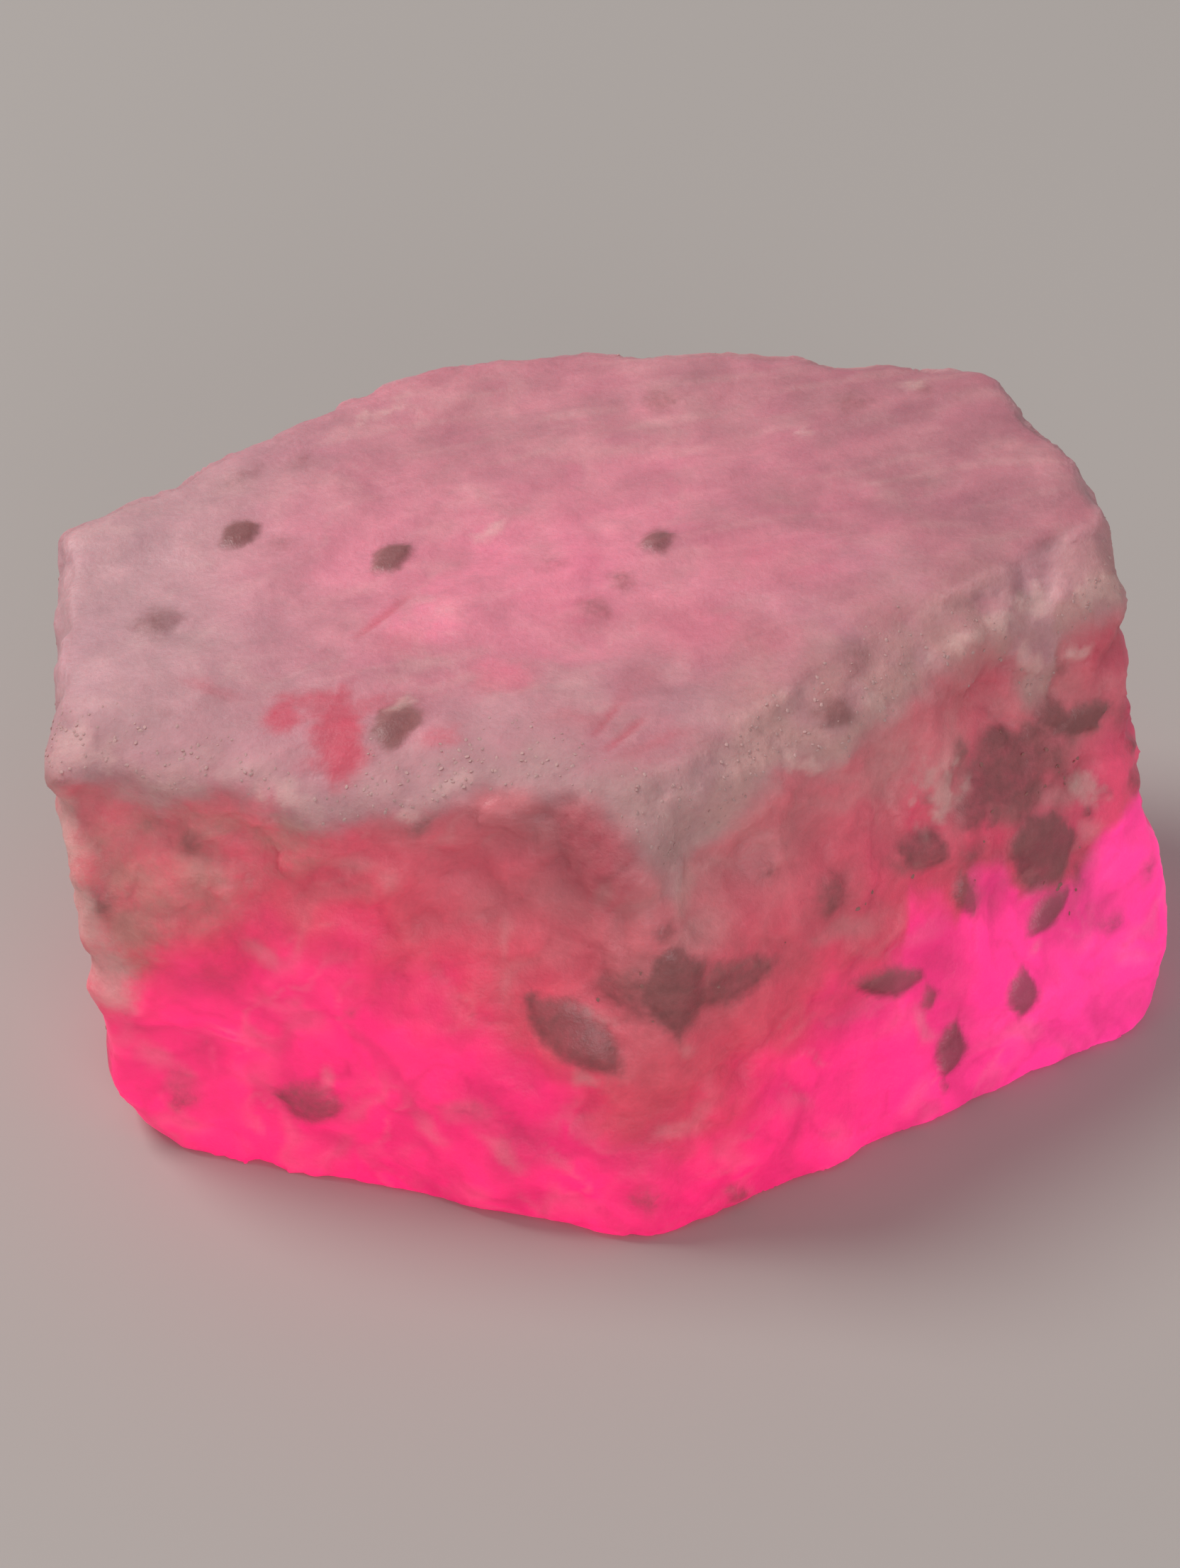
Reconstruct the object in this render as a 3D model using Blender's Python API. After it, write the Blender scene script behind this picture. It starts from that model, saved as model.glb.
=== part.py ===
"""A rough ruby: one block of pink corundum, parted flat on top and underneath and broken off all round.

The block is cleaved out of a plain cube, one face of the crystal at a time. Shell-shaped chips are
knocked off its edges, the surface gets its relief, and the result is thinned to broad facets that
keep the ridges. Lengths are in millimetres until MM turns them into metres. +Z is up, the viewer's
side is -Y, and the origin is the middle of the footprint on the surface that the stone lies on.
"""

import math

import bmesh
import bpy
from mathutils import Matrix, Vector, noise

MM = 0.001
NAME = "ruby"
COLOUR = (0.61, 0.20, 0.25, 1.0)
ROUGHNESS = 0.55

# The point inside the stone that every face is measured from.
CORE = Vector((0.0, 0.0, 9.0))

# Each face of the crystal: the way it faces (0 the viewer, 90 right, 180 away, 270 left),
# how far it leans back to look up, both in degrees, and its distance from the core.
FACES = {
    "top": (0, 88, 9.15),
    "base": (0, -90, 9.0),
    "front_left": (-8, 5, 12.1),
    "front_left_low": (-16, -6, 13.0),
    "front_right": (41, 14, 11.4),
    "front_right_low": (33.6, 2, 11.6),
    "front_edge": (16, 2, 13.1),
    "right": (76, 14, 18.15),
    "right_low": (82, 1, 19.15),
    "right_back": (100, 8, 18.2),
    "right_back_corner": (115, 8, 18.5),
    "back": (173, 5, 14.6),
    "back_low": (165, -12, 15.0),
    "back_left": (190, 2, 14.2),
    "left_back": (219, 4, 14.5),
    "left_back_low": (228, -9, 15.0),
    "left": (273, -4, 17.6),
    "band_left": (-8, 59, 12.5),
    "band_right": (40, 51, 12.0),
    "foot_left": (-62, -35, 19.0),
    "foot_front_left": (-20, -55, 16.0),
    "foot_front_right": (35, -50, 15.3),
    "foot_right": (70, -42, 19.1),
    "foot_front_edge": (14, -38, 16.0),
    "foot_back": (180, -48, 16.2),
    "foot_back_left": (235, -40, 16.6),
}

# Shell-shaped chips: the place on the surface, the half width of the scar and its depth.
CHIPS = {
    "ridge_far_left": ((-15.8, -9.0, 14.6), 2.0, 0.55),
    "ridge_left": ((-11.6, -10.2, 14.5), 2.3, 0.60),
    "ridge_middle": ((-7.2, -10.9, 15.0), 1.3, 0.40),
    "ridge_arch": ((-3.3, -11.5, 13.2), 3.6, 0.75),
    "front_edge": ((2.9, -10.7, 14.2), 2.1, 0.60),
    "right_shoulder": ((13.3, -2.0, 14.6), 2.7, 0.55),
    "right_waist": ((18.6, 1.6, 9.5), 3.6, 0.50),
    "back_shoulder": ((5.5, 14.0, 15.0), 4.2, 0.90),
    "back_waist": ((-3.5, 14.3, 8.0), 3.8, 0.70),
    "back_foot": ((9.5, 14.2, 4.2), 3.4, 0.80),
    "left_waist": ((-17.9, 0.5, 8.5), 3.0, 0.55),
    "left_shoulder": ((-12.0, 8.6, 15.5), 2.8, 0.65),
    "under_left": ((-11.0, -6.5, 0.0), 2.6, 0.45),
    "under_back": ((6.0, 10.5, 0.0), 3.2, 0.50),
    "under_right": ((15.0, 1.0, 0.0), 2.4, 0.40),
}

# Dark crystals that stand a little proud: place, half length along the slope, half width, height.
GRAINS = {
    "lens": ((-0.9, -12.0, 7.6), 1.7, 0.95, 0.22),
    "fork_left": ((2.0, -11.9, 8.3), 1.3, 1.1, 0.20),
    "fork_right": ((4.1, -10.7, 9.2), 1.6, 0.7, 0.18),
    "knob": ((-7.1, -9.6, 16.6), 0.9, 0.8, 0.22),
    "cluster_low": ((14.8, -1.2, 11.6), 1.4, 1.2, 0.28),
    "cluster_high": ((13.5, -1.8, 13.4), 1.7, 1.3, 0.25),
    "cluster_left": ((10.9, -4.6, 11.0), 1.2, 1.0, 0.22),
}

# The parted top is drawn out along two sets of lamellae: their heading, length, spacing and height.
LAMELLAE = ((20.0, 15.0, 1.9, 0.17), (56.0, 9.0, 1.5, 0.07))
STEP_SIZE = 5.5
STEP_HEIGHT = 0.16

COBBLE_SIZE = 5.4
COBBLE_HEIGHT = 0.26
LUMP_SIZE = 8.0
LUMP_HEIGHT = 0.38
GRIT_SIZE = 2.3
GRIT_HEIGHT = 0.16

SEED = 7
ROUGH_BLOCK = 60.0
VOXEL = 0.36
EDGE_ROUNDS = 16
TRIANGLES = 7800
BASE_TRIM = 0.12
TOP_LOOKS_UP = 0.80
BASE_LOOKS_DOWN = -0.75


def heading(azimuth, lean):
    """The unit vector that faces this way: 0 is the viewer, 90 the right, and a lean of 90 straight up."""
    turn = math.radians(azimuth)
    rise = math.radians(lean)
    return Vector((math.sin(turn) * math.cos(rise), -math.cos(turn) * math.cos(rise), math.sin(rise)))


def clear_scene():
    for old in list(bpy.data.objects):
        bpy.data.objects.remove(old, do_unlink=True)


def object_from(shape, name):
    """Puts a bmesh into the scene as a named object, in metres."""
    mesh = bpy.data.meshes.new(name)
    shape.to_mesh(mesh)
    shape.free()
    made = bpy.data.objects.new(name, mesh)
    bpy.context.scene.collection.objects.link(made)
    return made


def cleaved_block():
    """The bare crystal: a cube with everything beyond each face split away."""
    shape = bmesh.new()
    bmesh.ops.create_cube(shape, size=ROUGH_BLOCK)
    for azimuth, lean, distance in FACES.values():
        outward = heading(azimuth, lean)
        cut = bmesh.ops.bisect_plane(
            shape,
            geom=shape.verts[:] + shape.edges[:] + shape.faces[:],
            plane_co=CORE + outward * distance,
            plane_no=outward,
            clear_outer=True,
        )
        rim = [piece for piece in cut["geom_cut"] if isinstance(piece, bmesh.types.BMEdge)]
        bmesh.ops.contextual_create(shape, geom=rim)
    bmesh.ops.recalc_face_normals(shape, faces=shape.faces)
    return object_from(shape, NAME)


def outward_at(place):
    """The outward normal of the crystal face nearest to a place."""
    offset = place - CORE
    nearest = min(FACES.values(), key=lambda face: abs(face[2] - offset.dot(heading(face[0], face[1]))))
    return heading(nearest[0], nearest[1])


def knock_off_chips(stone):
    """Cuts each chip with a ball that only just dips into the surface."""
    for name, (place, half_width, depth) in CHIPS.items():
        radius = (half_width**2 + depth**2) / (2 * depth)
        centre = Vector(place) + outward_at(Vector(place)) * (radius - depth)
        shape = bmesh.new()
        bmesh.ops.create_icosphere(shape, subdivisions=5, radius=radius, matrix=Matrix.Translation(centre))
        ball = object_from(shape, "chip_" + name)
        ball.hide_render = True
        ball.display_type = "WIRE"
        cut = stone.modifiers.new(name, "BOOLEAN")
        cut.operation = "DIFFERENCE"
        cut.object = ball


def even_skin(stone):
    """One even skin over the chipped block, with its sharp edges worn round."""
    skin = stone.modifiers.new("skin", "REMESH")
    skin.mode = "VOXEL"
    skin.voxel_size = VOXEL
    worn = stone.modifiers.new("worn", "SMOOTH")
    worn.factor = 0.5
    worn.iterations = EDGE_ROUNDS


def settled(stone):
    """Replaces the object's mesh by what its modifiers make, and drops them and their cutters."""
    graph = bpy.context.evaluated_depsgraph_get()
    finished = bpy.data.meshes.new_from_object(stone.evaluated_get(graph))
    stone.modifiers.clear()
    stone.data = finished
    finished.name = NAME
    for helper in [other for other in bpy.data.objects if other != stone]:
        bpy.data.objects.remove(helper, do_unlink=True)


def smoothstep(low, high, value):
    share = min(1.0, max(0.0, (value - low) / (high - low)))
    return share * share * (3 - 2 * share)


def lamellae(place):
    """Streaks drawn out along the lamellae, and a few low steps where a sheet broke away."""
    height = 0.0
    for angle, length, spacing, drop in LAMELLAE:
        turn = math.radians(angle)
        along = place.x * math.cos(turn) + place.y * math.sin(turn)
        across = -place.x * math.sin(turn) + place.y * math.cos(turn)
        height += drop * noise.noise(Vector((along / length, across / spacing, angle)))
    sheet = noise.noise(Vector((place.x, place.y, 0)) / STEP_SIZE + Vector((5.3, 2.1, 0)))
    return height + STEP_HEIGHT * (smoothstep(-0.10, 0.10, sheet) - 0.5)


def cobbles(place):
    """Rounded, closely packed lumps of crystal, with creases where they meet."""
    warped = place + noise.noise_vector(place / LUMP_SIZE) * 2.2
    nearest, second = noise.voronoi(warped / COBBLE_SIZE)[0][:2]
    return COBBLE_HEIGHT * (smoothstep(0.0, 0.6, second - nearest) - 0.7)


def grain_height(place):
    """How far the dark crystals lift the surface here."""
    height = 0.0
    for centre, half_length, half_width, rise in GRAINS.values():
        offset = place - Vector(centre)
        reach = math.sqrt((offset.x / half_length) ** 2 + (offset.y / half_length) ** 2 + (offset.z / half_width) ** 2)
        height = max(height, rise * smoothstep(1.25, 0.55, reach))
    return height


def relief(place, outward):
    """How far a point of the skin moves out along its normal."""
    parted = smoothstep(TOP_LOOKS_UP, 0.97, outward.z)
    underside = smoothstep(BASE_LOOKS_DOWN, -0.97, outward.z)
    broken = (1 - parted) * (1 - underside)
    lumps = LUMP_HEIGHT * noise.noise(place / LUMP_SIZE + Vector((3.1, 7.7, 1.3)))
    grit = GRIT_HEIGHT * noise.noise(place / GRIT_SIZE)
    rough = cobbles(place) + grit
    return (lumps + parted * lamellae(place)) * (1 - underside) + broken * rough + grain_height(place)


def raise_relief(stone):
    """Moves the whole skin by the relief. The noise is seeded, so every build gives the same stone."""
    noise.seed_set(SEED)
    mesh = stone.data
    moves = [relief(vertex.co, vertex.normal) for vertex in mesh.vertices]
    normals = [vertex.normal.copy() for vertex in mesh.vertices]
    for vertex, outward, move in zip(mesh.vertices, normals, moves, strict=True):
        vertex.co += outward * move


def thin_to_facets(stone):
    """Merges the skin into broad facets that keep the ridges, chips and steps."""
    stone.data.calc_loop_triangles()
    thinning = stone.modifiers.new("facets", "DECIMATE")
    thinning.ratio = TRIANGLES / len(stone.data.loop_triangles)
    thinning.use_collapse_triangulate = True
    settled(stone)


def trim_base(stone):
    """Cuts the underside to one flat face, just above its lowest point, and stands it on z = 0."""
    level = min(vertex.co.z for vertex in stone.data.vertices) + BASE_TRIM
    shape = bmesh.new()
    below = Matrix.Translation((0, 0, level - ROUGH_BLOCK / 2))
    bmesh.ops.create_cube(shape, size=ROUGH_BLOCK, matrix=below)
    trim = stone.modifiers.new("trim", "BOOLEAN")
    trim.operation = "DIFFERENCE"
    trim.object = object_from(shape, "trim")
    settled(stone)
    stone.data.transform(Matrix.Translation((0, 0, -level)))


def centre_in_metres(stone):
    """Puts the middle of the footprint at the origin and turns millimetres into metres."""
    places = [vertex.co for vertex in stone.data.vertices]
    middle = [(min(place[axis] for place in places) + max(place[axis] for place in places)) / 2 for axis in (0, 1)]
    stone.data.transform(Matrix.Translation((-middle[0], -middle[1], 0)))
    stone.data.transform(Matrix.Scale(MM, 4))


def ruby_material():
    material = bpy.data.materials.new("ruby")
    material.use_nodes = True
    surface = material.node_tree.nodes["Principled BSDF"]
    surface.inputs["Base Color"].default_value = COLOUR
    surface.inputs["Roughness"].default_value = ROUGHNESS
    surface.inputs["Metallic"].default_value = 0.0
    return material


def main():
    clear_scene()
    stone = cleaved_block()
    knock_off_chips(stone)
    even_skin(stone)
    settled(stone)
    raise_relief(stone)
    thin_to_facets(stone)
    trim_base(stone)
    centre_in_metres(stone)
    stone.data.materials.clear()
    stone.data.materials.append(ruby_material())


if __name__ == "__main__":
    main()
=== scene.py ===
"""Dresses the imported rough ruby: a finely worn skin over the solid, its minerals and its stage.

Lengths in the marks and the relief are millimetres; everything in the scene is metres.
"""

import math
import random

import bmesh
import bpy
import numpy as np
from bpy.props import FloatProperty, FloatVectorProperty, IntProperty, PointerProperty
from bpy.types import Operator, Panel, PropertyGroup
from mathutils import Matrix, Vector, noise
from mathutils.bvhtree import BVHTree


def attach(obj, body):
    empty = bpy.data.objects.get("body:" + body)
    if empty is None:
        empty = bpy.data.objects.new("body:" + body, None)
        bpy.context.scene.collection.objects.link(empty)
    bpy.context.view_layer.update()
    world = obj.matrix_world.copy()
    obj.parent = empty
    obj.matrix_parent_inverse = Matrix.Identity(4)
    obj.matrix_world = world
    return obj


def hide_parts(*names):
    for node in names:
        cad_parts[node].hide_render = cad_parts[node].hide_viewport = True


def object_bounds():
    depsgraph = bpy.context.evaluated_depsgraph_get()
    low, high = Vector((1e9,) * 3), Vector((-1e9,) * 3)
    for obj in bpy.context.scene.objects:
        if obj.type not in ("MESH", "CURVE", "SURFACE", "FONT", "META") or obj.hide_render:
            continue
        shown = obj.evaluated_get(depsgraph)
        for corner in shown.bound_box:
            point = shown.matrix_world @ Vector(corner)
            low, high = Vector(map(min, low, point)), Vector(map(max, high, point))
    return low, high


bl_info = {
    "name": "Rough Ruby",
    "version": (1, 0, 0),
    "blender": (4, 5, 0),
    "location": "3D View > Sidebar > Rough Ruby",
    "description": "Builds a rough ruby with its pale crust, dark mineral grains and lit foot",
    "category": "Add Mesh",
}

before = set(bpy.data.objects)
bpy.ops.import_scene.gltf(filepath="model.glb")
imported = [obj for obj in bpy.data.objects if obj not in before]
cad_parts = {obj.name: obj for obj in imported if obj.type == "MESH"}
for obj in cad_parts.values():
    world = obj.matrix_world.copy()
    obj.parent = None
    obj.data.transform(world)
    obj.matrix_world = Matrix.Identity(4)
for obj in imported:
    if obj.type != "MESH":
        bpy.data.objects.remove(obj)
CAD_BOX = [list(corner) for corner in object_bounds()]

MM = 0.001
SEED = 7
BODY = "root"
NODE = "ruby"

# The stone is mapped as it looks from the front and from this far above level:
# millimetres to the right of its middle, and millimetres up across the line of sight.
VIEW_RISE = math.radians(37.0)
MAP_RIGHT = Vector((1.0, 0.0, 0.0))
MAP_UP = Vector((0.0, math.sin(VIEW_RISE), math.cos(VIEW_RISE)))
MAP_OUT = Vector((0.0, -math.cos(VIEW_RISE), math.sin(VIEW_RISE)))

# The lamellae of the top rise by this slope at their left end and bend down from there.
LAMELLA_SLOPE = 0.58
LAMELLA_START = -17.0
LAMELLA_BEND = 0.0072
# The fine streaks of the material are turned by this much.
STREAK_TURN = math.radians(26.0)

# How far outside the stone the rays start that find a mark's place, from the map and from the sides.
MAP_START = 80.0
SIDE_START = 60.0

# The scalloped lower edge of the pale crust, from left to right on the map.
CRUST_LINE = (
    (-18.4, 7.1), (-17.5, 7.1), (-16.3, 7.1), (-15.6, 7.0), (-15.0, 6.4), (-14.2, 6.7), (-13.3, 7.0),
    (-11.9, 6.7), (-11.2, 6.5), (-10.5, 5.9), (-9.8, 5.7), (-9.1, 5.8), (-8.3, 6.3), (-7.5, 6.4),
    (-6.8, 5.9), (-6.2, 6.2), (-5.5, 6.7), (-4.3, 7.1), (-3.1, 7.1), (-1.9, 6.9), (-0.8, 6.4),
    (0.1, 5.4), (0.7, 4.4), (1.5, 3.9), (2.2, 4.8), (3.2, 5.9), (4.6, 7.1), (5.2, 7.5), (6.9, 7.9),
    (7.7, 8.6), (8.8, 9.2), (9.4, 10.0), (10.7, 10.6), (12.2, 11.0), (12.9, 10.7), (13.5, 9.8),
    (14.2, 10.0), (14.5, 12.0), (15.8, 12.5), (16.8, 13.1),
)

# The upper edge of the part that shines through, from left to right on the map.
GLOW_LINE = (
    (-17.6, -0.4), (-15.9, 0.2), (-14.1, 1.1), (-11.4, 1.5), (-8.6, 1.7), (-6.8, 0.1), (-5.1, -0.6),
    (-3.8, -1.4), (-2.1, -2.7), (-0.7, -4.2), (0.4, -5.4), (1.9, -5.4), (3.4, -3.9), (5.1, -1.8),
    (7.0, -0.5), (8.2, 0.2), (9.3, 1.8), (9.5, 3.3), (10.4, 3.4), (11.2, 2.5), (11.6, 4.1),
    (12.8, 4.5), (13.4, 3.2), (15.4, 3.9), (16.1, 5.0), (17.6, 6.6), (17.9, 7.0),
)

# Marks on the map: right, up, half length, half width, tilt in degrees, strength.
GRAINS = (
    # On the parted top.
    (-12.9, 15.5, 0.72, 0.37, 28, 1.0), (-7.8, 14.6, 0.74, 0.37, 30, 1.0), (1.1, 15.2, 0.58, 0.31, 15, 0.9),
    (-15.4, 12.4, 0.84, 0.36, 8, 0.6), (-11.0, 18.2, 0.22, 0.19, 0, 0.5), (-13.0, 17.6, 0.6, 0.14, 30, 0.4),
    (-0.1, 13.8, 0.36, 0.28, 0, 0.6), (-1.0, 12.9, 0.51, 0.25, -20, 0.55), (1.3, 20.4, 0.52, 0.26, 10, 0.5),
    (7.8, 20.3, 0.5, 0.34, 0, 0.45), (10.6, 21.5, 0.32, 0.18, 0, 0.6), (6.7, 9.4, 0.56, 0.5, 0, 0.8),
    (7.5, 11.2, 0.37, 0.42, 0, 0.35), (-18.3, 7.2, 0.36, 0.32, 0, 0.6), (-15.0, 9.4, 0.32, 0.11, -10, 0.3),
    (-16.5, 8.3, 0.36, 0.14, 0, 0.3), (-11.6, 15.1, 0.28, 0.19, 0, 0.4), (-2.4, 14.4, 0.38, 0.17, 10, 0.4),
    # The knob at the front of the top.
    (-7.35, 8.95, 0.9, 0.58, 35, 1.0), (-6.95, 9.75, 0.26, 0.2, 0, 0.4),
    # On the left of the front edge.
    (-15.3, 5.9, 0.18, 0.18, 0, 0.4), (-14.0, 5.2, 0.32, 0.3, 0, 0.6), (-17.1, 3.2, 0.58, 0.3, -60, 0.7),
    (-14.9, -3.6, 0.45, 0.31, 15, 0.62), (-10.5, -3.5, 1.1, 0.52, -10, 0.8),
    (-1.65, -1.0, 1.88, 0.72, -38, 0.84),
    (-6.6, 5.8, 0.41, 0.29, 20, 0.7), (-8.9, -0.3, 0.14, 0.14, 0, 0.6),
    # The forked one on the front edge.
    (0.4, 0.4, 1.2, 0.6, -8, 0.6), (1.55, 0.35, 1.25, 1.0, 88, 0.85), (1.4, 1.3, 0.62, 0.5, 85, 0.85),
    (3.3, 0.7, 1.65, 0.52, 22, 0.8),
    # On the right of the front edge.
    (12.4, 8.6, 0.55, 0.48, 0, 0.9), (12.75, 7.3, 1.5, 1.25, 80, 0.66), (11.7, 6.4, 0.9, 0.5, 70, 0.7),
    (13.8, 8.8, 0.7, 0.45, 30, 0.65),
    (15.5, 9.3, 1.1, 0.34, 25, 1.0), (14.4, 9.4, 0.62, 0.36, 0, 0.9), (17.0, 9.4, 0.48, 0.22, 80, 0.5),
    (14.25, 4.95, 1.42, 1.12, 80, 0.92), (13.7, 3.9, 0.6, 0.4, -20, 0.75), (10.0, 4.9, 0.76, 0.62, 20, 0.82),
    (9.4, 4.5, 0.38, 0.33, 0, 0.6), (11.5, 3.4, 0.76, 0.29, -75, 0.9), (11.6, 4.7, 0.4, 0.33, 0, 0.6),
    (6.8, 3.5, 0.74, 0.4, 85, 0.6), (4.7, 4.3, 0.28, 0.23, 0, 0.5), (14.5, 2.8, 1.06, 0.34, 50, 1.0),
    (15.5, 3.9, 0.44, 0.19, 60, 0.6), (8.9, 0.5, 1.14, 0.4, 8, 1.0), (10.3, -0.1, 0.41, 0.29, 80, 0.9),
    (13.6, 0.0, 0.82, 0.43, 85, 1.0), (11.1, -1.9, 0.89, 0.43, 80, 1.0), (11.0, -3.2, 0.17, 0.12, 90, 0.9),
    (16.9, 2.3, 0.39, 0.27, 20, 0.6), (17.7, 7.3, 0.49, 0.2, 80, 0.7), (18.1, 4.1, 0.49, 0.15, 85, 0.6),
    (3.8, -6.7, 0.38, 0.29, 0, 0.8), (0.7, -6.7, 0.59, 0.28, 0, 0.5),
)
PALE_PATCHES = (
    # Along the crust.
    (-10.5, 6.6, 1.36, 0.5, -25, 0.7), (-5.7, 7.0, 0.79, 0.34, 30, 0.6), (-6.8, 6.3, 0.36, 0.27, 0, 0.7),
    (-17.6, 8.2, 1.02, 0.68, 0, 0.5), (1.4, 4.5, 0.36, 0.27, 0, 0.5),
    (10.5, 6.9, 1.05, 0.76, 80, 1.0), (9.6, 7.2, 0.8, 0.37, 10, 0.4), (15.8, 7.0, 0.58, 0.5, 0, 0.85),
    (15.3, 11.5, 0.33, 0.29, 0, 0.9), (16.0, 13.7, 0.83, 0.48, 0, 0.8), (13.6, 13.2, 0.52, 0.47, 0, 0.8),
    (11.3, 11.8, 1.22, 0.33, 25, 0.8), (5.7, 7.8, 0.64, 0.28, 0, 0.8), (8.1, 9.6, 0.46, 0.42, 0, 0.6),
    # Painted highlight: the second patch on the next line is the paler upper facet of the knob.
    (13.4, 11.1, 0.95, 0.31, -70, 0.7), (-7.1, 9.6, 0.42, 0.24, 35, 0.6), (-0.8, -0.5, 0.8, 0.3, -38, 0.25),
    # On the parted top.
    (-4.5, 15.5, 0.52, 0.33, 10, 0.6), (6.4, 19.2, 0.68, 0.2, 5, 0.7), (-8.6, 19.9, 0.64, 0.25, 20, 0.6),
    (10.3, 21.6, 0.37, 0.17, 0, 0.7),
)
# The fresh red break beside the knob.
SCAR = (
    (-11.05, 9.35, 0.66, 0.6, 0, 0.8), (-9.8, 9.65, 1.3, 0.44, 0, 0.65), (-8.1, 9.7, 1.1, 0.36, 4, 0.4),
    (-9.15, 8.45, 1.75, 0.84, 89, 0.95), (-9.9, 7.8, 0.6, 0.45, 60, 0.5), (-5.9, 8.6, 0.6, 0.36, 20, 0.4),
)
# Red blushes just under the crust, without an edge.
BLUSHES = (
    (16.2, 11.7, 1.48, 1.1, 10, 0.75), (11.7, 10.6, 1.98, 1.04, 20, 0.6), (17.3, 9.4, 0.48, 0.63, 0, 0.5),
    # Painted shade: the last blush paints the face left of the front edge a darker crimson.
    (-0.9, 5.0, 1.9, 1.3, -50, 0.6),
)
# Painted shade: places that the material paints darker.
SHADES = (
    (-1.8, 5.2, 3.4, 2.4, -10, 0.9), (-4.0, 6.6, 2.2, 1.2, 0, 0.5), (3.0, 11.2, 4.0, 1.6, 25, 0.35),
)
# Places where the foot shines less.
DIMS = (
    (-2.6, -4.0, 4.4, 1.7, -5, 1.0), (-8.4, 2.2, 2.6, 1.3, 0, 0.6), (-13.2, 0.9, 1.8, 0.9, 15, 0.7),
    (0.6, -6.6, 2.4, 0.9, 0, 0.4), (1.6, -3.2, 2.0, 1.6, 0, 0.7), (10.6, 0.6, 1.5, 2.6, 0, 0.8),
    (12.4, 3.4, 1.7, 1.0, 0, 0.9), (14.8, 3.0, 1.6, 1.3, 0, 0.8), (6.4, -1.0, 1.6, 1.0, 15, 0.9),
    (4.6, -3.0, 1.4, 1.0, 0, 0.8), (-15.2, 1.7, 1.7, 1.0, 0, 0.8),
)
# Rosy strokes in the top.
STROKES = (
    (-13.4, 10.2, 0.95, 0.26, -20, 0.55), (0.0, 10.1, 0.75, 0.32, 60, 0.45), (-1.5, 9.2, 1.2, 0.28, -5, 0.4),
    (0.9, 8.4, 1.4, 0.26, 22, 0.5), (-3.9, 10.6, 1.1, 0.55, 0, 0.5), (2.6, 12.3, 2.6, 1.0, -5, 0.3),
    (4.2, 14.7, 2.2, 0.95, -8, 0.22), (-7.4, 11.8, 0.95, 0.5, 0, 0.3), (-1.4, 12.6, 1.65, 0.7, -10, 0.2),
    (4.6, 12.0, 1.3, 0.65, -10, 0.32), (0.4, 10.5, 1.0, 0.5, 0, 0.35),
)
# Hazy mauve places in the top, above the crust.
HAZES = (
    (-0.6, 10.3, 3.0, 0.9, 5, 0.35), (6.6, 12.2, 2.4, 1.0, -25, 0.5), (2.7, 9.5, 2.5, 0.8, -10, 0.5),
    (8.7, 14.3, 1.9, 1.0, -20, 0.45), (-4.1, 9.3, 2.5, 0.9, 5, 0.4),
)
# Soft pale weathering, along the left edge and beside the cluster on the right.
PALE_RIMS = (
    (-18.2, 5.6, 1.8, 0.5, -85, 0.9), (-17.6, 2.8, 1.9, 0.5, -75, 1.0), (-17.0, 0.8, 1.5, 0.8, -72, 1.0),
    (9.7, 7.6, 1.6, 1.2, 0, 0.35),
)
# Soft whitish veils inside the front faces.
VEILS = (
    (-15.7, -2.1, 0.9, 0.48, -20, 0.6), (-14.7, -2.7, 0.43, 0.29, 0, 0.45),
    (-11.8, 1.5, 0.78, 0.3, -25, 0.65),
    (-12.9, 3.7, 1.15, 0.28, -70, 0.5), (-8.7, 4.5, 0.82, 0.3, 0, 0.6), (-7.6, 4.0, 0.5, 0.3, -50, 0.45),
    (-3.9, 2.2, 0.83, 0.2, 88, 0.55), (-9.9, -2.7, 0.47, 0.26, 70, 0.7), (-6.4, -4.3, 0.84, 0.3, -50, 0.55),
    (-5.1, -3.7, 0.93, 0.4, -5, 0.45), (-4.0, -5.1, 1.03, 0.26, -45, 0.6), (-10.8, -0.1, 0.46, 0.33, 0, 0.4),
    (2.0, -1.5, 0.34, 0.26, 0, 0.6), (1.8, -4.3, 0.93, 0.32, 15, 0.55), (2.5, -3.7, 0.7, 0.24, 60, 0.4),
    (2.4, 2.2, 1.2, 0.7, 30, 0.6), (7.5, 2.3, 1.17, 0.46, 10, 0.7), (6.6, 2.0, 0.56, 0.3, 0, 0.5),
    (10.1, -1.0, 0.72, 0.28, -60, 0.7), (14.1, 1.5, 0.4, 0.24, 60, 0.55), (13.6, -1.4, 0.97, 0.42, 10, 0.4),
    (15.9, 5.5, 0.36, 0.5, 0, 0.7), (14.9, 4.5, 1.69, 0.24, 45, 0.6), (-0.6, 3.6, 0.6, 0.36, 60, 0.8),
    (-1.3, -2.5, 0.5, 0.28, -40, 0.9), (1.8, 3.7, 0.9, 0.55, 80, 1.0), (14.6, 6.7, 0.9, 0.36, -8, 0.9),
)
HEART_PATCHES = (
    (-5.3, 13.1, 1.45, 1.03, 0, 0.6), (-3.8, 12.6, 0.98, 0.7, 0, 0.5),
    (-5.4, 13.6, 4.1, 2.58, 0, 0.45), (-3.9, 10.7, 1.06, 0.6, -15, 0.6), (0.0, 17.7, 3.14, 0.77, 8, 0.35),
    (4.0, 12.6, 1.45, 1.12, 0, 0.45), (8.4, 15.3, 2.19, 0.9, 10, 0.35), (-2.5, 14.3, 6.8, 3.6, 10, 0.5),
    (5.0, 13.8, 5.5, 2.6, 12, 0.4), (-1.0, 16.3, 8.0, 1.6, 12, 0.3), (-6.4, 12.4, 1.5, 0.95, 10, 0.8),
    (-6.3, 13.7, 1.17, 0.52, 10, 0.75), (-4.3, 14.6, 1.8, 0.9, 12, 0.75), (-8.5, 15.2, 5.0, 3.0, 15, 0.35),
)
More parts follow.
